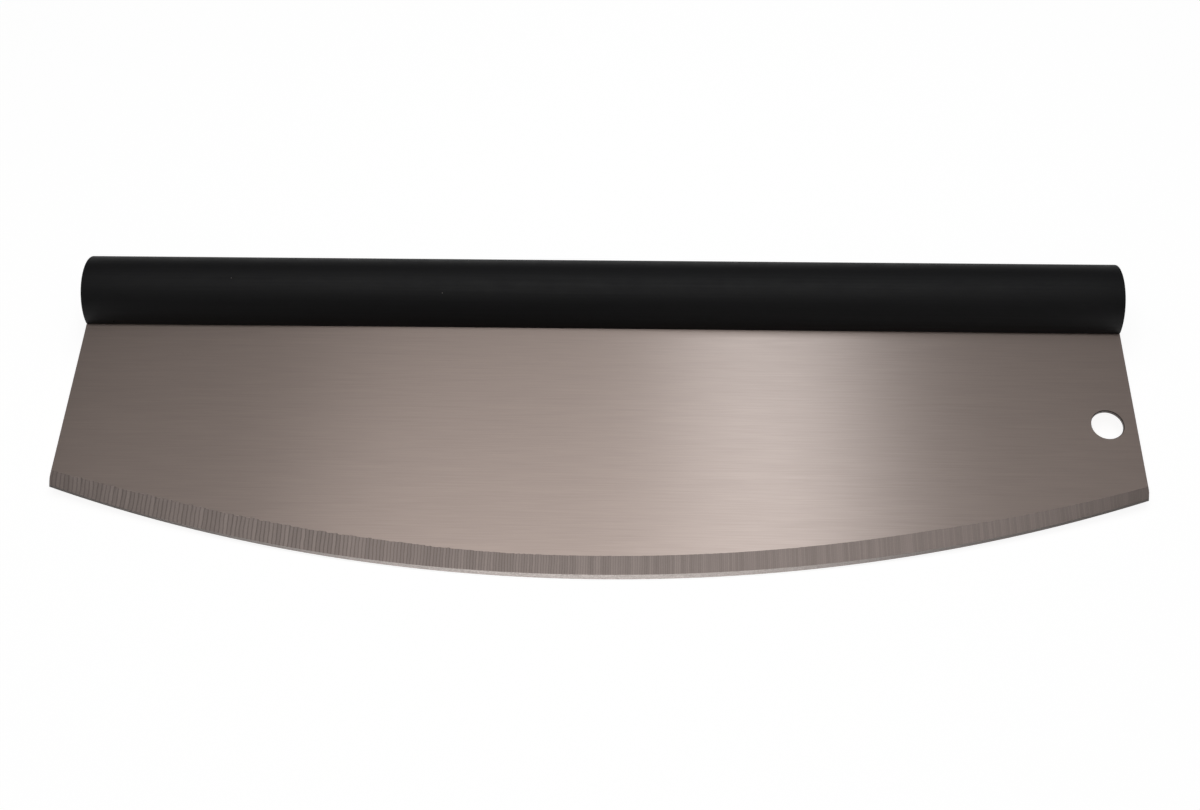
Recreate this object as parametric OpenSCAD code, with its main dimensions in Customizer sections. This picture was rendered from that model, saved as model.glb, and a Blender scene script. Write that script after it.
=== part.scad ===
// Rocking pizza knife, lying on a table with its front face up.
// A wide steel blade with an arc-ground cutting edge is pinned by its tang in the slot
// of a round plastic bar, which is the handle.
// X runs along the knife, the cutting edge faces -Y and the origin is on the table,
// under the middle of the knife's outline.
// Each piece is drawn in the blade's own plane, with the bar's axis on X, the cutting
// edge towards -Y and the front face towards +Z, and is then laid on the table.

/* [Blade] */
// Width of the blade across its two tips
blade_w = 508; // [400:1:600]
// How much further out each side is at its tip than at the handle
side_flare = 1; // [0:0.1:10]
// Thickness of the steel sheet
blade_t = 2; // [1.5:0.1:3]
// Depth from the handle's axis to the cutting edge at the middle
edge_drop = 151.5; // [140:0.5:200]
// Depth from the handle's axis to the two tips
tip_drop = 108.5; // [95:0.5:125]
// Height of the stretch above each tip where the side is ground inwards
tip_ease_h = 4; // [2:0.5:8]
// How far each side is ground inwards at its tip
tip_ease_in = 0.6; // [0.1:0.1:0.8]

/* [Cutting edge] */
// Height of the whole ground band, on both faces
bevel_h = 11; // [6:0.5:20]
// Height of the narrow honed band along the cutting edge
hone_h = 2; // [1:0.1:4]
// Thickness of the steel where the honed band starts
hone_t = 0.9; // [0.4:0.1:1.4]

/* [Hanging hole] */
// Diameter of the hanging hole
hole_d = 15; // [8:0.5:20]
// Distance of the hole's centre inside the tip
hole_inset = 14; // [13:0.5:60]
// Depth of the hole's centre below the handle's axis
hole_drop = 69.5; // [40:0.5:72]
// Size of the chamfer on both rims of the hole
hole_chamfer = 0.3; // [0.1:0.1:0.6]

/* [Handle] */
// Diameter of the round bar
handle_d = 37.5; // [34:0.5:45]
// How far the bar reaches past the blade's side at each end
handle_overhang = 0.2; // [0:0.1:10]
// Size of the broken edge at both ends of the bar
handle_chamfer = 0.5; // [0.2:0.1:2]
// Size of the broken edges along the slot's mouth
slot_chamfer = 0.4; // [0.1:0.1:1]
// Height of the tang above the bar's axis
tang_above = 8; // [5:0.5:9]

/* [Pins] */
// Number of dowel pins
pin_count = 5; // [2:1:9]
// Distance of the outermost pins from the ends of the bar
pin_inset = 33.2; // [15:0.1:80]
// Diameter of a pin
pin_d = 5; // [3:0.5:6]
// Length of a pin
pin_len = 26; // [20:0.5:28]
// Size of the chamfer at both ends of a pin
pin_chamfer = 0.5; // [0.2:0.1:1]
// Depth of a pin's outer end below the rear of the bar
pin_recess = 1.2; // [0.5:0.1:2]
// Gap beyond a pin's inner end in its blind hole
pin_gap = 0.5; // [0.2:0.1:1]
// Play between a pin and its hole in the tang, on the diameter
tang_play = 0.1; // [0.05:0.05:0.4]

/* [Hidden] */
$fn = 96;
// Facets of the very large arc of the cutting edge
arc_fn = 256;
// Overrun of a cut past the faces that it opens
cut = 1;
// Point angle of the drill that makes the blind holes
drill_angle = 118;

half_w = blade_w / 2;
half_top_w = half_w - side_flare;
half_t = blade_t / 2;
half_hone_t = hone_t / 2;
handle_r = handle_d / 2;
handle_len = 2 * (half_top_w + handle_overhang);
pin_r = pin_d / 2;
pin_pitch = (handle_len - 2 * pin_inset) / (pin_count - 1);
pin_hole_end = pin_recess + pin_len + pin_gap - handle_r;

// Radius and centre of the arc through both tips and the middle of the edge
sag = edge_drop - tip_drop;
edge_r = (half_w * half_w + sag * sag) / (2 * sag);
edge_centre_y = edge_r - edge_drop;

// Corners of the rear face at the middle: depth below the axis, and half thickness
rear_corners = [
    [edge_drop, 0],
    [edge_drop - hone_h, half_hone_t],
    [edge_drop - bevel_h, half_t]
];
// Tilt at which the first of those corners meets the table, with the bar resting on it
rest_tilt = min([for (c = rear_corners) asin(handle_r / norm(c)) - atan2(c[1], c[0])]);
handle_y = (edge_drop * cos(rest_tilt) - handle_r) / 2;

// Lays a piece, drawn in the blade's own plane, on the table
module on_table() {
    translate([0, handle_y, handle_r])
        rotate([rest_tilt, 0, 0])
            children();
}

// Puts a copy at each pin's place
module at_pins() {
    for (i = [0 : pin_count - 1])
        translate([(i - (pin_count - 1) / 2) * pin_pitch, 0, 0])
            children();
}

// Outline of the flat blank, whose lower side the ground disc then rounds off
module blank_outline() {
    low_y = -edge_drop - cut;
    ease_y = tip_ease_h - tip_drop;
    ease_slope = tip_ease_in / tip_ease_h;
    right_side = [
        [half_top_w, tang_above],
        [half_top_w, -handle_r],
        [half_w, ease_y],
        [half_w - ease_slope * (ease_y - low_y), low_y]
    ];
    left_side = [for (i = [len(right_side) - 1 : -1 : 0]) [-right_side[i][0], right_side[i][1]]];
    polygon(concat(right_side, left_side));
}

// Disc of sheet steel whose rim is ground from both faces and honed to an edge
module ground_disc() {
    translate([0, edge_centre_y, 0])
        rotate_extrude($fn = arc_fn)
            polygon([
                [0, -half_t],
                [edge_r - bevel_h, -half_t],
                [edge_r - hone_h, -half_hone_t],
                [edge_r, 0],
                [edge_r - hone_h, half_hone_t],
                [edge_r - bevel_h, half_t],
                [0, half_t]
            ]);
}

// Through hole for a peg or hook, with both rims chamfered
module hanging_hole() {
    hole_r = hole_d / 2;
    cylinder(h = blade_t + 2 * cut, r = hole_r, center = true);
    for (side = [0, 1])
        mirror([0, 0, side])
            translate([0, 0, half_t - hole_chamfer])
                cylinder(h = hole_chamfer + cut, r1 = hole_r, r2 = hole_r + hole_chamfer + cut);
}

module blade() {
    color("#8f8680")
        on_table()
            difference() {
                intersection() {
                    linear_extrude(blade_t, center = true)
                        blank_outline();
                    ground_disc();
                }
                translate([half_w - hole_inset, -hole_drop, 0])
                    hanging_hole();
                at_pins()
                    cylinder(h = blade_t + 2 * cut, d = pin_d + tang_play, center = true);
            }
}

// Solid of revolution with both ends chamfered, standing on z = 0
module chamfered_rod(r, len, chamfer) {
    rotate_extrude()
        polygon([
            [0, 0],
            [r - chamfer, 0],
            [r, chamfer],
            [r, len - chamfer],
            [r - chamfer, len],
            [0, len]
        ]);
}

// Milled slot through the whole length of the bar, with its mouth's edges broken
module tang_slot() {
    mouth_y = -sqrt(handle_r * handle_r - half_t * half_t);
    low_y = -handle_r - cut;
    low_z = half_t + slot_chamfer + mouth_y - low_y;
    rotate([90, 0, 90])
        linear_extrude(handle_len + 2 * cut, center = true)
            polygon([
                [tang_above, -half_t],
                [tang_above, half_t],
                [mouth_y + slot_chamfer, half_t],
                [low_y, low_z],
                [low_y, -low_z],
                [mouth_y + slot_chamfer, -half_t]
            ]);
}

// Blind hole drilled from the rear of the bar, ending in the drill's cone
module pin_hole() {
    rotate_extrude()
        polygon([
            [0, -handle_r - cut],
            [pin_r, -handle_r - cut],
            [pin_r, pin_hole_end],
            [0, pin_hole_end + pin_r / tan(drill_angle / 2)]
        ]);
}

module handle() {
    color("#1c1b1e")
        on_table()
            difference() {
                translate([-handle_len / 2, 0, 0])
                    rotate([0, 90, 0])
                        chamfered_rod(handle_r, handle_len, handle_chamfer);
                tang_slot();
                at_pins()
                    pin_hole();
            }
}

module handle_pins() {
    color("#b9bcc0")
        on_table()
            at_pins()
                translate([0, 0, pin_recess - handle_r])
                    chamfered_rod(pin_r, pin_len, pin_chamfer);
}

blade();
handle();
handle_pins();
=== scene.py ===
"""Looks of a rocking pizza knife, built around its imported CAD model.

Every length is in metres, in the frame of the CAD model: X runs along the knife, the
cutting edge faces -Y, +Z is up and the knife lies on the table at z = 0. The blade, the
bar and the pins are each worked out in the blade's own plane, with the bar's axis on X,
the cutting edge towards -Y and the front face towards +Z, and are then laid on the table.
"""

import math

import bpy
import numpy as np
from mathutils import Euler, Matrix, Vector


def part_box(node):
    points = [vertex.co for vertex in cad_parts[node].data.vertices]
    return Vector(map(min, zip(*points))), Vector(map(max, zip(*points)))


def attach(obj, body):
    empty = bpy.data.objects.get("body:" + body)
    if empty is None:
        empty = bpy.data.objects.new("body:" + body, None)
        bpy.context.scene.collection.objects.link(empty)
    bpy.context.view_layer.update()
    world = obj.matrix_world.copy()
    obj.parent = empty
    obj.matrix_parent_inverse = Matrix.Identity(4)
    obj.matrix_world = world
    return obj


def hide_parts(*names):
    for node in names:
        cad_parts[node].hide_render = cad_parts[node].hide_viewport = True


bl_info = {
    "name": "Rocking pizza knife",
    "version": (1, 0, 0),
    "blender": (4, 5, 0),
    "location": "3D View > Sidebar > Pizza knife",
    "description": "Makes a rocking pizza knife with its finishes and a plain studio round it",
    "category": "Add Mesh",
}

MM = 0.001
BODY = "root"

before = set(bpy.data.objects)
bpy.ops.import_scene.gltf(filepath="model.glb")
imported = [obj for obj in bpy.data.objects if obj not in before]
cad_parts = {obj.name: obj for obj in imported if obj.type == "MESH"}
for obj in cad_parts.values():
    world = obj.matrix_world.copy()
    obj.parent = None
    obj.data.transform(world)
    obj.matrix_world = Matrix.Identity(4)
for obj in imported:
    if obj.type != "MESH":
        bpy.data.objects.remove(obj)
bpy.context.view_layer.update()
BLADE_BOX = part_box("blade")
HANDLE_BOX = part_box("handle")

# Material slots of the blade's mesh
SHEET, GROUND, HONED, SHEARED = range(4)
# Material slots of the bar's mesh
SKIN, SAWN = range(2)

# Rows of the blade's mesh: in the flat, in the ground band and in the honed band
FLAT_ROWS, GROUND_ROWS, HONED_ROWS = 6, 4, 2
# Angle above which an edge between two faces stays sharp
SHARP = math.radians(25)
# Half of the point angle of the drill that makes the blind holes
DRILL_HALF_ANGLE = math.radians(59)

# Pitch of the grinding strokes at the right tip, and what is added to it further left: how
# much, the place of the change and its softness
FINE_PITCH = 0.8 * MM
COARSER = ((0.45 * MM, 0.030, 0.030), (0.75 * MM, -0.095, 0.025))
# Step between neighbouring strokes at the ground band's border, at the right and in all
STEP_RIGHT, STEP_SEED = 0.2, 7
STEP_HEIGHT = 0.16 * MM
# Height and run of the two slow waves in that border; the first is only where strokes are coarse
COARSE_WAVE = (0.35 * MM, 0.019)
LONG_WAVE = (0.20 * MM, 0.047)
# Distance from the middle at which the ground band starts to fall off, and how bluntly
FALL_START, FALL_POWER = 0.15, 1.3
# The nick in the slot's front lip: its radius, and its middle as a place along the bar, a depth
# inside the bar's surface and a height above the blade's middle
NICK_RADIUS = 0.55 * MM
NICK_PLACE = (-0.2385, 0.9 * MM, 3.1 * MM)
# The honed band: its share of the full height at the tips, and its widest place and spread
HONE_TIPS, HONE_PEAK, HONE_SPREAD = 0.42, 0.03, 0.15

# Size and place of each lamp; the band lamp is a little cooler than the others
TOP_LAMP = ((0.78, 0.60), (-0.06, -0.18, 1.20))
WIDE_LAMP = ((1.80, 0.36), (0.00, 0.26, 1.25))
BAND_LAMP = ((0.22, 0.60), (0.19, 0.52, 1.15))
WHITE = (1.0, 1.0, 1.0)
COOL_WHITE = (0.90, 1.0, 1.07)
# Half the side of the square table, and its level just under the knife
TABLE_REACH = 15.0
TABLE_LEVEL = -0.1 * MM
# Glow of the table where the camera or gloss sees it, and the glow's share in what they see
TABLE_GLOW, TABLE_GLOW_SHARE = 1.27, 0.7


def length(name, description, default):
    """A length of up to a metre that a user may change."""
    return bpy.props.FloatProperty(
        name=name, description=description, default=default, min=0.0, max=1.0,
        unit="LENGTH", subtype="DISTANCE", precision=5,
    )


def colour(name, description, hex_value):
    """A colour, kept linear, whose default is written as an sRGB hex value."""
    return bpy.props.FloatVectorProperty(
        name=name, description=description, default=linear(hex_value), size=3,
        min=0.0, max=1.0, subtype="COLOR",
    )


def linear(hex_value):
    """Turns an sRGB hex value such as 8f8680 into a linear colour."""
    srgb = np.array([int(hex_value[i : i + 2], 16) for i in (0, 2, 4)]) / 255
    low = srgb / 12.92
    high = ((srgb + 0.055) / 1.055) ** 2.4
    return tuple(float(v) for v in np.where(srgb <= 0.04045, low, high))


class BladeSizes(bpy.types.PropertyGroup):
    """Sizes of the blade"""

    width: length("Width", "Width across the two tips", BLADE_BOX[1].x - BLADE_BOX[0].x)
    flare: length("Flare", "How much further out a side is at its tip", 1 * MM)
    thickness: length("Thickness", "Thickness of the sheet", 2 * MM)
    edge_drop: length("Edge depth", "Depth of the edge's middle below the bar's axis", 151.5 * MM)
    tip_drop: length("Tip depth", "Depth of the tips below the bar's axis", 108.5 * MM)
    tang_above: length("Tang height", "Height of the tang above the bar's axis", 8 * MM)
    ease_height: length("Tip ease height", "Height of the inward-ground stretch", 4 * MM)
    ease_in: length("Tip ease", "How far a side is ground inwards at its tip", 0.6 * MM)
    bevel: length("Ground band", "Height of the ground band at the middle", 11 * MM)
    bevel_lean: length("Ground band's lean", "Extra height at the left tip", 1.0 * MM)
    bevel_fall: bpy.props.FloatProperty(
        name="Fall at the tips", description="Share of the ground band's height lost at the tips",
        default=0.36, min=0, max=1, subtype="FACTOR",
    )
    hone: length("Honed band", "Height of the honed band where it is widest", 2 * MM)
    hone_thickness: length("Honed thickness", "Thickness where the honing starts", 0.9 * MM)
    edge_round: length("Side rounding", "Rounding of the sheared sides", 0.3 * MM)
    hole_diameter: length("Hole", "Diameter of the hanging hole", 15 * MM)
    hole_inset: length("Hole inset", "Distance of the hole inside the tip", 14 * MM)
    hole_drop: length("Hole depth", "Depth of the hole below the bar's axis", 69.5 * MM)
    hole_chamfer: length("Hole chamfer", "Chamfer of the hole's rims", 0.3 * MM)
    column: length("Column", "Width of one column of the blade's mesh", 0.6 * MM)


class HandleSizes(bpy.types.PropertyGroup):
    """Sizes of the handle and its pins"""

    diameter: length("Diameter", "Diameter of the round bar", 37.5 * MM)
    bar_length: length("Length", "Length of the bar", HANDLE_BOX[1].x - HANDLE_BOX[0].x)
    end_round: length("End rounding", "Rounding of the bar's ends", 0.5 * MM)
    slot_chamfer: length("Slot chamfer", "Broken edge of the slot's mouth", 0.4 * MM)
    pin_count: bpy.props.IntProperty(name="Pins", description="Number of pins", default=5, min=2)
    pin_inset: length("Pin inset", "Distance of the outer pins from the bar's ends", 33.2 * MM)
    pin_diameter: length("Pin", "Diameter of a pin", 5 * MM)
    pin_length: length("Pin length", "Length of a pin", 26 * MM)
    pin_chamfer: length("Pin chamfer", "Chamfer of a pin's ends", 0.5 * MM)
    pin_recess: length("Pin recess", "Depth of a pin below the bar's rear", 1.2 * MM)
    pin_gap: length("Pin gap", "Gap beyond a pin in its blind hole", 0.5 * MM)
    tang_play: length("Play", "Play between a pin and its hole in the tang", 0.1 * MM)


class Finishes(bpy.types.PropertyGroup):
    """Colours of the finishes"""

    steel: colour("Sheet", "Brushed stainless sheet", "b6a69e")
    ground: colour("Ground", "Cross-ground stainless band", "877c77")
    honed: colour("Honed", "Honed stainless edge", "a39b97")
    # The sheared colour is the edge's own duller tone, darkened further as painted shade for the
    # hanging hole's wall
    sheared: colour("Sheared", "Sheared edges of the sheet", "5c5552")
    pin: colour("Pin", "Turned stainless pin", "c4c2bf")
    plastic: colour("Plastic", "Black polypropylene bar", "0c0b0d")
    sawn: colour("Sawn end", "Sawn end of the bar", "1b1a1c")
    dust: colour("Dust", "Specks of dust on the bar", "77716e")
    floor: colour("Floor", "Matt white table", "f7f6f5")


class Studio(bpy.types.PropertyGroup):
    """Light and camera of the studio"""

    world: bpy.props.FloatProperty(
        name="World", description="Level of the even light from all round", default=0.10, min=0,
    )
    top_power: bpy.props.FloatProperty(
        name="Top lamp", description="Power of the lamp overhead", default=3.0, min=0,
        unit="POWER",
    )
    wide_power: bpy.props.FloatProperty(
        name="Wide lamp", description="Power of the wide lamp behind the one overhead", default=1.9,
        min=0, unit="POWER",
    )
    band_power: bpy.props.FloatProperty(
        name="Band lamp", description="Power of the lamp that the blade mirrors", default=0.8,
        min=0, unit="POWER",
    )
    lens: bpy.props.FloatProperty(
        name="Lens", description="Focal length on a 36 mm sensor, in millimetres", default=46.3,
        min=1, subtype="DISTANCE_CAMERA",
    )
    camera_place: bpy.props.FloatVectorProperty(
        name="Camera", description="Place of the camera", default=(0.0226, -0.4407, 0.5950),
        subtype="TRANSLATION", unit="LENGTH",
    )
    camera_turn: bpy.props.FloatVectorProperty(
        name="Camera's turn", description="Turn of the camera about X, Y and Z",
        default=tuple(math.radians(a) for a in (37.378, 0.895, 1.496)), subtype="EULER",
    )


def rest_tilt(blade, handle):
    """The tilt at which the rear face's first corner meets the table, the bar lying on it."""
    depth = blade.edge_drop - np.array([0, blade.hone, blade.bevel])
    half = np.array([0, blade.hone_thickness, blade.thickness]) / 2
    radius = handle.diameter / 2
    return float((np.arcsin(radius / np.hypot(depth, half)) - np.arctan2(half, depth)).min())


def laid(points):
    """Turns points of the blade's plane by the tilt about the bar's axis, and lifts them onto
    the table."""
    scene = bpy.context.scene
    tilt = rest_tilt(scene.knife_blade, scene.knife_handle)
    radius = scene.knife_handle.diameter / 2
    axis_y = (scene.knife_blade.edge_drop * math.cos(tilt) - radius) / 2
    x, y, z = np.moveaxis(np.asarray(points, float), -1, 0)
    out_y = axis_y + y * math.cos(tilt) - z * math.sin(tilt)
    out_z = radius + y * math.sin(tilt) + z * math.cos(tilt)
    return np.stack([x, out_y, out_z], -1)


def piece(name, points, faces, slots, uv=None):
    """Makes a mesh object from arrays of points and faces, with a material slot for each face."""
    mesh = bpy.data.meshes.new(name)
    mesh.from_pydata(laid(points).tolist(), [], faces)
    mesh.polygons.foreach_set("material_index", np.asarray(slots, np.int32))
    if uv is not None:
        corner = np.empty(len(mesh.loops), np.int32)
        mesh.loops.foreach_get("vertex_index", corner)
        layer = mesh.uv_layers.new(name="surface")
        layer.data.foreach_set("uv", uv[corner].astype(np.float32).ravel())
    mesh.update()
    made = bpy.data.objects.new(name, mesh)
    bpy.context.scene.collection.objects.link(made)
    return made


def strips(first, second):
    """Quads between two equally long rows of point numbers."""
    return np.stack([first[:-1], second[:-1], second[1:], first[1:]], -1)


def lathe(profile, turns=48):
    """A closed turned shape about Z: each radius and height of the profile carried round a
    circle, with a point at either end."""
    profile = np.array(profile, float)
    angle = np.arange(turns) * 2 * np.pi / turns
    ring = np.stack([np.cos(angle), np.sin(angle)], -1)
    inner = profile[1:-1]
    heights = np.broadcast_to(inner[:, None, 1:], (len(inner), turns, 1))
    points = np.concatenate([inner[:, None, :1] * ring, heights], -1).reshape(-1, 3)
    ends = [[0, 0, profile[0, 1]], [0, 0, profile[-1, 1]]]
    points = np.concatenate([points, ends])
    number = np.arange(len(inner) * turns).reshape(len(inner), turns)
    number = np.concatenate([number, number[:, :1]], 1)
    walls = [strips(b, a) for a, b in zip(number[:-1], number[1:])]
    faces = np.concatenate(walls).tolist()
    low, high = len(points) - 2, len(points) - 1
    faces += [[low, b, a] for a, b in zip(number[0][:-1], number[0][1:])]
    faces += [[high, a, b] for a, b in zip(number[-1][:-1], number[-1][1:])]
    return points, faces


def cut(target, cutters):
    """Cuts shapes out of a piece, keeps the result as its mesh and removes the cutters."""
    for cutter in cutters:
        step = target.modifiers.new(cutter.name, "BOOLEAN")
        step.operation = "DIFFERENCE"
        step.solver = "EXACT"
        step.object = cutter
    bpy.context.view_layer.update()
    graph = bpy.context.evaluated_depsgraph_get()
    result = bpy.data.meshes.new_from_object(target.evaluated_get(graph))
    if not result.polygons:
        raise RuntimeError(f"The cuts left nothing of {target.name}")
    before = target.data
    target.modifiers.clear()
    target.data = result
    bpy.data.meshes.remove(before)
    result.name = target.name
    for cutter in cutters:
        bpy.data.objects.remove(cutter)


def turned_cutter(name, profile, place, slot):
    """A turned cutter that stands at a place of the blade's plane."""
    points, faces = lathe(profile)
    return piece(name, points + np.array(place), faces, np.full(len(faces), slot))


def pin_places(handle):
    """Places of the pins along the bar, evenly spaced between the outermost two."""
    reach = handle.bar_length / 2 - handle.pin_inset
    return np.linspace(-reach, reach, handle.pin_count)


def stripe_count(x):
    """Number of grinding strokes from the left tip to x: the sum of 1 / pitch, whose pitch falls
    in two soft steps from coarse strokes on the left to fine ones on the right."""
    pitch = FINE_PITCH
    for added, place, softness in COARSER:
        pitch = pitch + added / (1 + np.exp((x - place) / softness))
    return np.cumsum(np.gradient(x) / pitch)


def ground_height(blade, x):
    """Height of the ground band at x: it leans to the left tip, falls off near both tips, waves
    slowly and steps a little from stroke to stroke where the strokes are coarse."""
    strokes = stripe_count(x)
    step = np.random.default_rng(STEP_SEED).normal(0, 1, int(strokes.max()) + 2)
    coarse = 1 / (1 + np.exp((x + 0.06) / 0.03))
    ragged = STEP_HEIGHT * (STEP_RIGHT + coarse) * step[strokes.astype(int)]
    slow = COARSE_WAVE[0] * coarse * np.sin(x / COARSE_WAVE[1])
    slow = slow + LONG_WAVE[0] * np.sin(x / LONG_WAVE[1])
    half = blade.width / 2
    lean = -blade.bevel_lean * x / half
    near_tip = np.clip((np.abs(x) - FALL_START) / (half - FALL_START), 0, 1)
    fall = 1 - blade.bevel_fall * near_tip**FALL_POWER
    return (blade.bevel + lean) * fall + slow + ragged


def hone_height(blade, x):
    """Height of the honed band at x: widest a little right of the middle, narrow at the tips."""
    swell = np.exp(-(((x - HONE_PEAK) / HONE_SPREAD) ** 2))
    return blade.hone * (HONE_TIPS + (1 - HONE_TIPS) * swell)


def side_at(blade, bar_radius, y):
    """Half width at depth y: straight from the bar to the tip, then ground inwards."""
    half = blade.width / 2
    return np.interp(
        y,
        [-blade.tip_drop, -blade.tip_drop + blade.ease_height, -bar_radius],
        [half - blade.ease_in, half, half - blade.flare],
    )


def blade_grid(blade, bar_radius):
    """Points of the blade's front half, row by row from the tang to the edge, as x, y and half
    the thickness, and their place on the surface.

    A column keeps its share of the half width. The lower rows lie at set distances inside
    the arc of the edge, and half the thickness grows straight from nothing at the edge to the
    honed band's, then to the sheet's at the top of the ground band. The sides lose thickness
    as a quarter circle.
    """
    half = blade.width / 2
    sag = blade.edge_drop - blade.tip_drop
    arc = (half * half + sag * sag) / (2 * sag)
    centre = arc - blade.edge_drop
    turn = np.linspace(0, np.pi / 2, 5)[:-1]
    rounded = (1 - np.cos(turn)) * blade.edge_round / half
    inner = 1 - blade.edge_round / half
    columns = int(blade.width / blade.column)
    share = np.concatenate([rounded - 1, np.linspace(-inner, inner, columns), (1 - rounded)[::-1]])
    x = share * half
    band = ground_height(blade, x)
    hone = hone_height(blade, x)
    on_hone = np.linspace(0, 1, HONED_ROWS + 1)[:, None] * hone
    on_band = hone + np.linspace(0, 1, GROUND_ROWS + 1)[1:, None] * (band - hone)
    above = np.concatenate([on_hone, on_band])[::-1]
    low_x = np.broadcast_to(x, above.shape)
    for _ in range(4):
        low_y = centre - np.sqrt((arc - above) ** 2 - low_x**2)
        low_x = share * side_at(blade, bar_radius, low_y)
    drop = np.linspace(0, 1, FLAT_ROWS + 1)[:-1, None]
    high_y = blade.tang_above + (low_y[0] - blade.tang_above) * drop
    high_x = share * side_at(blade, bar_radius, high_y)
    grid_x = np.concatenate([high_x, low_x])
    grid_y = np.concatenate([high_y, low_y])
    above = np.concatenate([np.full_like(high_x, blade.bevel) + high_y - low_y[0], above])
    hone_half = blade.hone_thickness / 2 * hone / blade.hone
    ground_half = hone_half + (blade.thickness / 2 - hone_half) * (above - hone) / (band - hone)
    half_t = np.where(above < hone, hone_half * above / hone, ground_half)
    half_t[: len(high_x) + 1] = blade.thickness / 2
    inside = np.clip(side_at(blade, bar_radius, grid_y) - np.abs(grid_x), 0, blade.edge_round)
    lost = blade.edge_round - np.sqrt(blade.edge_round**2 - (blade.edge_round - inside) ** 2)
    half_t = np.minimum(half_t, blade.thickness / 2 - lost)
    uv = np.stack(np.broadcast_arrays(stripe_count(x), (grid_y - low_y[-1]) / MM), -1)
    return grid_x, grid_y, half_t, uv


def blade_piece(blade, handle):
    """The blade: its front and rear grids share the row of the edge and are joined by walls at
    the sides and the tang's top."""
    bar_radius = handle.diameter / 2
    x, y, half_t, uv = blade_grid(blade, bar_radius)
    rows, columns = x.shape
    front = np.stack([x, y, half_t], -1).reshape(-1, 3)
    rear = np.stack([x, y, -half_t], -1)[:-1].reshape(-1, 3)
    number = np.arange(rows * columns).reshape(rows, columns)
    behind = np.concatenate([number[:-1] + rows * columns, number[-1:]])
    row_slot = [SHEET] * FLAT_ROWS + [GROUND] * GROUND_ROWS + [HONED] * HONED_ROWS
    faces, slots = [], []
    for row, slot in enumerate(row_slot):
        faces.append(strips(number[row], number[row + 1]))
        faces.append(strips(behind[row], behind[row + 1])[:, ::-1])
        slots += [slot] * (2 * (columns - 1))
    faces.append(strips(behind[0], number[0]))
    left = np.stack([number[:-1, 0], behind[:-1, 0], behind[1:, 0], number[1:, 0]], -1)
    right = np.stack([number[:-1, -1], number[1:, -1], behind[1:, -1], behind[:-1, -1]], -1)
    faces = np.concatenate(faces + [left, right]).tolist()
    faces = [list(dict.fromkeys(face)) for face in faces]
    slots += [SHEARED] * (len(faces) - len(slots))
    flat_uv = uv.reshape(-1, 2)
    uv = np.concatenate([flat_uv, flat_uv[: len(rear)]])
    made = piece("blade_sheet", np.concatenate([front, rear]), faces, slots, uv)

    half = blade.thickness / 2
    hole = blade.hole_diameter / 2
    wide = hole + blade.hole_chamfer + half
    level = half - blade.hole_chamfer
    lower = [(0, -2 * half), (wide, -2 * half), (hole, -level)]
    profile = lower + [(hole, level), (wide, 2 * half), (0, 2 * half)]
    place = (blade.width / 2 - blade.hole_inset, -blade.hole_drop, 0)
    # The hole's wall takes the sheared finish, whose darker colour is partly painted shade
    cutters = [turned_cutter("hole_cutter", profile, place, SHEARED)]
    pin_hole = (handle.pin_diameter + handle.tang_play) / 2
    profile = [(0, -2 * half), (pin_hole, -2 * half), (pin_hole, 2 * half), (0, 2 * half)]
    for at in pin_places(handle):
        cutters.append(turned_cutter("tang_cutter", profile, (at, 0, 0), SHEARED))
    return made, cutters


def handle_outline(blade, handle, radius):
    """Outline of the bar's section: round the circle from one lip of the slot to the other, then
    along the slot's chamfered mouth and its walls."""
    half = blade.thickness / 2
    lip = half + handle.slot_chamfer
    start = math.asin(lip / radius)
    angle = np.linspace(start, 2 * np.pi - start, 241)
    circle = np.stack([-radius * np.cos(angle), radius * np.sin(angle)], -1)
    mouth = -math.sqrt(radius**2 - lip**2) + handle.slot_chamfer
    slot = [[mouth, -half], [blade.tang_above, -half], [blade.tang_above, half], [mouth, half]]
    return np.concatenate([circle, slot])


def handle_piece(blade, handle):
    """The bar: its section carried along X, and made smaller as a quarter circle at the ends."""
    radius = handle.diameter / 2
    turn = np.linspace(0, np.pi / 2, 6)
    inset = handle.end_round * (1 - np.sin(turn))
    shrink = handle.end_round * (1 - np.cos(turn))
    end = handle.bar_length / 2
    stations = np.concatenate([inset[::-1] - end, np.linspace(-end, end, 23)[1:-1], end - inset])
    radii = radius - np.concatenate([shrink[::-1], np.zeros(21), shrink])
    section = np.array([handle_outline(blade, handle, r) for r in radii])
    count = section.shape[1]
    along = np.broadcast_to(stations[:, None, None], (len(stations), count, 1))
    points = np.concatenate([along, section], -1).reshape(-1, 3)
    number = np.arange(len(points)).reshape(len(stations), count)
    closed = np.concatenate([number, number[:, :1]], 1)
    walls = np.concatenate([strips(a, b) for a, b in zip(closed[:-1], closed[1:])]).tolist()
    faces = walls + [number[0].tolist(), number[-1][::-1].tolist()]
    slots = [SKIN] * len(walls) + [SAWN] * 2
    made = piece("handle_bar", points, faces, slots)

    pin = handle.pin_diameter / 2
    deep = handle.pin_recess + handle.pin_length + handle.pin_gap - radius
    outside = -radius - handle.end_round
    tip = deep + pin / math.tan(DRILL_HALF_ANGLE)
    profile = [(0, outside), (pin, outside), (pin, deep), (0, tip)]
    cutters = [
        turned_cutter("pin_cutter", profile, (at, 0, 0), SAWN) for at in pin_places(handle)
    ]
    return made, cutters


def nick_cutter(handle):
    """A small shape that nicks the slot's front lip near the left end: a ball, turned from a
    half circle, stretched towards the spine and sheared sideways."""
    turn = np.linspace(-np.pi / 2, np.pi / 2, 12)
    profile = NICK_RADIUS * np.stack([np.cos(turn), np.sin(turn)], -1)
    points, faces = lathe(profile, 24)
    stretch, shear = np.array([1.0, 2.0, 1.0]), np.array([0.9, 0.0, 0.6])
    stretched = points * stretch + points[:, 1:2] * shear
    along, depth, height = NICK_PLACE
    place = np.array([along, depth - handle.diameter / 2, height])
    return piece("nick_cutter", stretched + place, faces, np.full(len(faces), SKIN))


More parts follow.
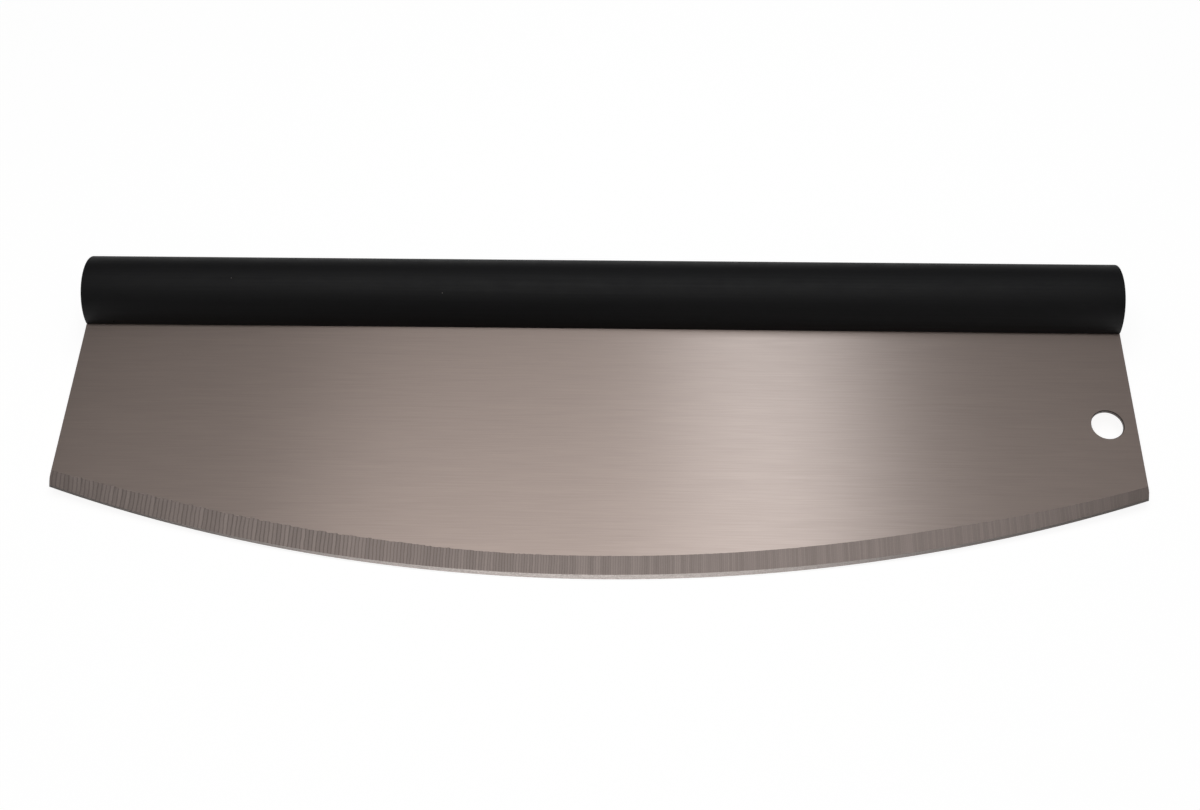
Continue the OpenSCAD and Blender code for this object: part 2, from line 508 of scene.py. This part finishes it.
def pins_piece(handle):
    """The dowel pins: a chamfered rod turned about its axis, one at each place."""
    low = handle.pin_recess - handle.diameter / 2
    high = low + handle.pin_length
    r, c = handle.pin_diameter / 2, handle.pin_chamfer
    profile = [(0, low), (r - c, low), (r, low + c), (r, high - c), (r - c, high), (0, high)]
    points, faces = lathe(profile, 64)
    places = pin_places(handle)
    offset = np.zeros((len(places), 1, 3))
    offset[:, 0, 0] = places
    all_points = (points + offset).reshape(-1, 3)
    all_faces = [[n + k * len(points) for n in face] for k in range(len(places)) for face in faces]
    return piece("dowel_pins", all_points, all_faces, np.zeros(len(all_faces), int))


def add(tree, kind, inputs=(), **settings):
    """Adds a node with its settings and fills its inputs, named or in their order, with values
    or with links from other nodes' outputs. A node stands for its first output."""
    node = tree.nodes.new("ShaderNode" + kind)
    for key, value in settings.items():
        setattr(node, key, value)
    for key, value in inputs.items() if isinstance(inputs, dict) else enumerate(inputs):
        if isinstance(value, bpy.types.Node):
            value = value.outputs[0]
        if isinstance(value, bpy.types.NodeSocket):
            tree.links.new(value, node.inputs[key])
        else:
            node.inputs[key].default_value = value
    return node


def new_material(name):
    """An empty node material and its tree."""
    made = bpy.data.materials.new(name)
    made.use_nodes = True
    made.node_tree.nodes.clear()
    return made, made.node_tree


def shaded(tree, pattern, base, dark, light, low=0.0, high=1.0):
    """The base colour, scaled from dark to light while a pattern goes from low to high."""
    factor = add(tree, "MapRange", (pattern, low, high, 0.0, 1.0))
    shades = [tuple(part * scale for part in base) + (1.0,) for scale in (dark, light)]
    return add(tree, "Mix", {0: factor, 6: shades[0], 7: shades[1]}, data_type="RGBA").outputs[2]


def streaks(tree, run, pitch, detail=3.0):
    """Noise drawn out along X: each streak is about run long and pitch wide, in metres."""
    place = add(tree, "TexCoord").outputs["Object"]
    drawn = add(tree, "Mapping", {"Vector": place, "Scale": (1 / run, 1 / pitch, 1 / pitch)})
    inputs = {"Vector": drawn, "Scale": 1.0, "Detail": detail, "Roughness": 0.55}
    return add(tree, "TexNoise", inputs)


def grain(tree, size, detail=2.0):
    """Even noise whose grains are about size wide, in metres."""
    place = add(tree, "TexCoord").outputs["Object"]
    return add(tree, "TexNoise", {"Vector": place, "Scale": 1 / size, "Detail": detail})


def finish(tree, inputs):
    """Gives the material its surface, from the inputs of a principled shader."""
    add(tree, "OutputMaterial", {"Surface": add(tree, "BsdfPrincipled", inputs)})


def brushed_metal(tree, shade, roughness, relief, stretch, turn):
    """Bare metal whose gloss is stretched across its brushing. The brushing's direction follows
    the surface's own map, turned by a share of a full turn."""
    tangent = add(tree, "Tangent", direction_type="UV_MAP", uv_map="surface")
    finish(tree, {
        "Base Color": shade, "Metallic": 1.0, "Roughness": roughness, "Anisotropic": stretch,
        "Anisotropic Rotation": turn, "Normal": relief, "Tangent": tangent,
    })


def brushed_stainless_sheet(base):
    """Stainless sheet brushed lengthwise: long fine streaks, and gloss stretched across them."""
    made, tree = new_material("brushed stainless sheet")
    # Real brush lines are about 0.1 mm apart; these are drawn 0.45 mm apart so that they show.
    fine = streaks(tree, 26 * MM, 0.45 * MM)
    broad = streaks(tree, 90 * MM, 3.5 * MM, 1.0)
    fine_part = add(tree, "Math", (fine, 0.85), operation="MULTIPLY")
    broad_part = add(tree, "Math", (broad, 0.15), operation="MULTIPLY")
    both = add(tree, "Math", (fine_part, broad_part), operation="ADD")
    shade = shaded(tree, both, base, 0.95, 1.05, 0.3, 0.7)
    rough = add(tree, "MapRange", (both, 0.3, 0.7, 0.36, 0.33))
    bump = add(tree, "Bump", {"Strength": 0.12, "Distance": 0.02 * MM, "Height": fine})
    brushed_metal(tree, shade, rough, bump, stretch=0.82, turn=0.25)
    return made


def cross_ground_stainless(base):
    """Stainless ground across the blade: upright strokes side by side, each of its own tone, with
    dark lines between them that fade from the left tip to the right."""
    made, tree = new_material("cross-ground stainless")
    surface = add(tree, "SeparateXYZ", (add(tree, "UVMap", uv_map="surface"),))
    # The strokes have their real pitch, which the map counts, and waver a little as a hand does.
    wobble = add(tree, "Math", (grain(tree, 5 * MM), 0.5), operation="MULTIPLY")
    count = add(tree, "Math", (surface, wobble), operation="ADD")
    stroke = add(tree, "Math", (count,), operation="FLOOR")
    tone = add(tree, "TexWhiteNoise", {"W": stroke}, noise_dimensions="1D")
    part = add(tree, "Math", (count,), operation="FRACT")
    within = add(tree, "Math", (part, 0.5), operation="SUBTRACT")
    from_middle = add(tree, "Math", (within,), operation="ABSOLUTE")
    ridge = add(tree, "MapRange", (from_middle, 0.28, 0.5, 0.0, 1.0))
    across = add(tree, "SeparateXYZ", (add(tree, "TexCoord").outputs["Object"],))
    depth = add(tree, "MapRange", (across, -0.10, 0.12, 0.62, 0.16))
    line = add(tree, "Math", (ridge, depth), operation="MULTIPLY")
    spread = add(tree, "Math", (tone, 0.26), operation="MULTIPLY")
    # Grit leaves scratches of about 0.05 mm; the stipple is drawn 0.45 mm wide so that it shows.
    stipple = add(tree, "Math", (grain(tree, 0.45 * MM), 0.34), operation="MULTIPLY")
    light = add(tree, "Math", (spread, stipple), operation="ADD")
    level = add(tree, "Math", (light, line), operation="SUBTRACT")
    level = add(tree, "Math", (level, 0.4), operation="ADD")
    shade = shaded(tree, level, base, 0.62, 1.12)
    rough = add(tree, "MapRange", (level, 0.2, 1.0, 0.46, 0.36))
    bump = add(tree, "Bump", {"Strength": 0.25, "Distance": 0.03 * MM, "Height": level})
    brushed_metal(tree, shade, rough, bump, stretch=0.6, turn=0.0)
    return made


def honed_stainless(base):
    """Stainless honed on a fine stone: smoother and brighter than the ground band, with short
    scratches."""
    made, tree = new_material("honed stainless")
    # Real stone scratches are about 0.02 mm wide; they are drawn 0.5 mm wide so that they show.
    scratch = grain(tree, 0.5 * MM)
    shade = shaded(tree, scratch, base, 0.88, 1.05, 0.35, 0.65)
    rough = add(tree, "MapRange", (scratch, 0.35, 0.65, 0.40, 0.28))
    bump = add(tree, "Bump", {"Strength": 0.1, "Distance": 0.02 * MM, "Height": scratch})
    brushed_metal(tree, shade, rough, bump, stretch=0.3, turn=0.0)
    return made


def sheared_stainless_and_painted_shade(base):
    """Sheared and deburred edge of stainless sheet: duller than the faces, with fine tear marks
    about 0.35 mm apart. Its colour is partly the edge's own darker tone and partly painted shade,
    made darker still so that the hanging hole's wall looks shaded."""
    made, tree = new_material("sheared stainless edge")
    tear = grain(tree, 0.35 * MM)
    shade = shaded(tree, tear, base, 0.8, 1.1, 0.35, 0.65)
    rough = add(tree, "MapRange", (tear, 0.35, 0.65, 0.48, 0.36))
    bump = add(tree, "Bump", {"Strength": 0.2, "Distance": 0.03 * MM, "Height": tear})
    finish(tree, {"Base Color": shade, "Metallic": 1.0, "Roughness": rough, "Normal": bump})
    return made


def turned_stainless(base):
    """Turned stainless dowel: bright bare metal with turning marks a quarter of a millimetre
    apart along it."""
    made, tree = new_material("turned stainless")
    mark = streaks(tree, 0.25 * MM, 2 * MM)
    shade = shaded(tree, mark, base, 0.9, 1.05, 0.35, 0.65)
    rough = add(tree, "MapRange", (mark, 0.35, 0.65, 0.34, 0.24))
    bump = add(tree, "Bump", {"Strength": 0.15, "Distance": 0.02 * MM, "Height": mark})
    finish(tree, {"Base Color": shade, "Metallic": 1.0, "Roughness": rough, "Normal": bump})
    return made


def black_polypropylene(base, dust):
    """Extruded black polypropylene: matt, mottled in patches of about 7 mm, with drawing lines
    along it and a speck of dust every 24 mm or so."""
    made, tree = new_material("black polypropylene bar")
    mottle = grain(tree, 7 * MM, 4.0)
    drawn = streaks(tree, 70 * MM, 0.9 * MM, 2.0)
    # The skin's real grain is about 0.1 mm; it is drawn 0.6 mm wide so that it shows.
    skin = grain(tree, 0.6 * MM)
    shade = shaded(tree, mottle, base, 0.75, 1.25, 0.35, 0.65)
    place = add(tree, "TexCoord").outputs["Object"]
    speck = add(tree, "TexVoronoi", {"Vector": place, "Scale": 1 / (24 * MM)})
    mask = add(tree, "MapRange", (speck, 0.008, 0.014, 0.8, 0.0))
    dusty = add(tree, "Mix", {0: mask, 6: shade, 7: tuple(dust) + (1.0,)}, data_type="RGBA")
    patches = add(tree, "Math", (mottle, drawn), operation="ADD")
    rough = add(tree, "MapRange", (patches, 0.7, 1.3, 0.58, 0.68))
    drawn_part = add(tree, "Math", (drawn, 0.5), operation="MULTIPLY")
    skin_part = add(tree, "Math", (skin, 0.5), operation="MULTIPLY")
    height = add(tree, "Math", (drawn_part, skin_part), operation="ADD")
    bump = add(tree, "Bump", {"Strength": 0.25, "Distance": 0.05 * MM, "Height": height})
    finish(tree, {
        "Base Color": dusty.outputs[2], "Roughness": rough, "IOR": 1.49,
        "Specular IOR Level": 0.4, "Normal": bump,
    })
    return made


def sawn_polypropylene(base):
    """Sawn end of the bar: greyer than its skin, with upright saw marks 0.7 mm apart."""
    made, tree = new_material("sawn polypropylene end")
    place = add(tree, "TexCoord").outputs["Object"]
    upright = (1.0, 1 / (0.7 * MM), 1 / (30 * MM))
    drawn = add(tree, "Mapping", {"Vector": place, "Scale": upright})
    saw = add(tree, "TexNoise", {"Vector": drawn, "Scale": 1.0, "Detail": 2.0})
    shade = shaded(tree, saw, base, 0.7, 1.3, 0.35, 0.65)
    rough = add(tree, "MapRange", (saw, 0.35, 0.65, 0.6, 0.48))
    bump = add(tree, "Bump", {"Strength": 0.4, "Distance": 0.06 * MM, "Height": saw})
    finish(tree, {"Base Color": shade, "Roughness": rough, "IOR": 1.49, "Normal": bump})
    return made


def matt_white_table(base):
    """Matt white laminate: plain to the lamps, and near white where the camera or gloss sees it,
    with part of its shading kept there so that the knife's shadow still shows."""
    made, tree = new_material("matt white table")
    shade = shaded(tree, grain(tree, 40 * MM), base, 0.985, 1.0)
    matt = add(tree, "BsdfDiffuse", {"Color": shade})
    glow = add(tree, "Emission", {"Color": WHITE + (1.0,), "Strength": TABLE_GLOW})
    path = add(tree, "LightPath").outputs
    seen = add(tree, "Math", (path["Is Camera Ray"], path["Is Glossy Ray"]), operation="MAXIMUM")
    seen = add(tree, "Math", (seen, path["Is Transmission Ray"]), operation="MAXIMUM")
    share = add(tree, "Math", (seen, TABLE_GLOW_SHARE), operation="MULTIPLY")
    add(tree, "OutputMaterial", {"Surface": add(tree, "MixShader", (share, matt, glow))})
    return made


def dress(made, materials, cutters, node, smooth=True):
    """Gives a piece and its cutters the materials, cuts it, hangs it on the body's empty and hides
    the CAD node that it stands for. A smooth piece keeps only its sharp edges."""
    for target in [made] + cutters:
        for material in materials:
            target.data.materials.append(material)
    cut(made, cutters)
    if smooth:
        made.data.shade_smooth()
        made.data.set_sharp_from_angle(angle=SHARP)
    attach(made, BODY)
    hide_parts(node)


class KNIFE_OT_blade(bpy.types.Operator):
    """Makes the blade with its tang, ground edge and hanging hole"""

    bl_idname = "knife.blade"
    bl_label = "Blade"

    def execute(self, context):
        colours = context.scene.knife_finishes
        made, cutters = blade_piece(context.scene.knife_blade, context.scene.knife_handle)
        materials = [
            brushed_stainless_sheet(colours.steel),
            cross_ground_stainless(colours.ground),
            honed_stainless(colours.honed),
            sheared_stainless_and_painted_shade(colours.sheared),
        ]
        dress(made, materials, cutters, "blade", smooth=False)
        return {"FINISHED"}


class KNIFE_OT_handle(bpy.types.Operator):
    """Makes the slotted round bar with its blind pin holes"""

    bl_idname = "knife.handle"
    bl_label = "Handle"

    def execute(self, context):
        sizes = context.scene.knife_handle
        colours = context.scene.knife_finishes
        made, cutters = handle_piece(context.scene.knife_blade, sizes)
        cutters.append(nick_cutter(sizes))
        materials = [
            black_polypropylene(colours.plastic, colours.dust),
            sawn_polypropylene(colours.sawn),
        ]
        dress(made, materials, cutters, "handle")
        return {"FINISHED"}


class KNIFE_OT_pins(bpy.types.Operator):
    """Makes the dowel pins that hold the tang in the bar"""

    bl_idname = "knife.pins"
    bl_label = "Pins"

    def execute(self, context):
        made = pins_piece(context.scene.knife_handle)
        materials = [turned_stainless(context.scene.knife_finishes.pin)]
        dress(made, materials, [], "handle_pins")
        return {"FINISHED"}


def lamp(name, shape, power, tint):
    """A rectangular soft lamp of a size and place, which faces straight down and which the
    camera doesn't see."""
    size, place = shape
    data = bpy.data.lights.new(name, "AREA")
    data.shape = "RECTANGLE"
    data.size, data.size_y = size
    data.energy = power
    data.color = tint
    made = bpy.data.objects.new(name, data)
    made.location = place
    made.visible_camera = False
    bpy.context.scene.collection.objects.link(made)
    return made


class KNIFE_OT_studio(bpy.types.Operator):
    """Makes the table, the soft lamps, the even light and the camera"""

    bl_idname = "knife.studio"
    bl_label = "Studio"

    def execute(self, context):
        studio = context.scene.knife_studio
        signs = ((-1, -1), (1, -1), (1, 1), (-1, 1))
        corners = [(x * TABLE_REACH, y * TABLE_REACH, TABLE_LEVEL) for x, y in signs]
        mesh = bpy.data.meshes.new("table")
        mesh.from_pydata(corners, [], [(0, 1, 2, 3)])
        mesh.materials.append(matt_white_table(context.scene.knife_finishes.floor))
        table = bpy.data.objects.new("table", mesh)
        context.scene.collection.objects.link(table)

        lamp("top lamp", TOP_LAMP, studio.top_power, WHITE)
        lamp("wide lamp", WIDE_LAMP, studio.wide_power, WHITE)
        lamp("band lamp", BAND_LAMP, studio.band_power, COOL_WHITE)

        world = bpy.data.worlds.new("even light")
        world.use_nodes = True
        tree = world.node_tree
        tree.nodes.clear()
        seen = add(tree, "LightPath").outputs["Is Camera Ray"]
        strength = add(tree, "MapRange", (seen, 0.0, 1.0, studio.world, 1.0))
        backdrop = add(tree, "Background", {"Color": WHITE + (1.0,), "Strength": strength})
        add(tree, "OutputWorld", {"Surface": backdrop})
        context.scene.world = world
        context.scene.view_settings.view_transform = "Standard"

        data = bpy.data.cameras.new("camera")
        data.sensor_width = 36.0
        data.lens = studio.lens
        data.clip_end = 100.0
        camera = bpy.data.objects.new("camera", data)
        camera.location = studio.camera_place
        camera.rotation_euler = Euler(studio.camera_turn)
        context.scene.collection.objects.link(camera)
        context.scene.camera = camera
        return {"FINISHED"}


class KNIFE_PT_sidebar(bpy.types.Panel):
    """Lists the knife's pieces and its studio"""

    bl_idname = "KNIFE_PT_sidebar"
    bl_label = "Rocking pizza knife"
    bl_space_type = "VIEW_3D"
    bl_region_type = "UI"
    bl_category = "Pizza knife"

    def draw(self, context):
        for operator in OPERATORS:
            self.layout.operator(operator.bl_idname)
        for name, group in GROUPS:
            box = self.layout.box()
            for key in group.__annotations__:
                box.prop(getattr(context.scene, name), key)


OPERATORS = (KNIFE_OT_blade, KNIFE_OT_handle, KNIFE_OT_pins, KNIFE_OT_studio)
GROUPS = (
    ("knife_blade", BladeSizes),
    ("knife_handle", HandleSizes),
    ("knife_finishes", Finishes),
    ("knife_studio", Studio),
)


def register():
    """Registers the classes and hangs the property groups on the scene."""
    for _, group in GROUPS:
        bpy.utils.register_class(group)
    for operator in OPERATORS:
        bpy.utils.register_class(operator)
    bpy.utils.register_class(KNIFE_PT_sidebar)
    for name, group in GROUPS:
        setattr(bpy.types.Scene, name, bpy.props.PointerProperty(type=group))


def unregister():
    """Takes back what register did."""
    for name, _ in GROUPS:
        delattr(bpy.types.Scene, name)
    bpy.utils.unregister_class(KNIFE_PT_sidebar)
    for operator in reversed(OPERATORS):
        bpy.utils.unregister_class(operator)
    for _, group in reversed(GROUPS):
        bpy.utils.unregister_class(group)


def main():
    """Makes every piece and the studio."""
    register()
    bpy.ops.knife.blade()
    bpy.ops.knife.handle()
    bpy.ops.knife.pins()
    bpy.ops.knife.studio()


if __name__ == "__main__":
    main()
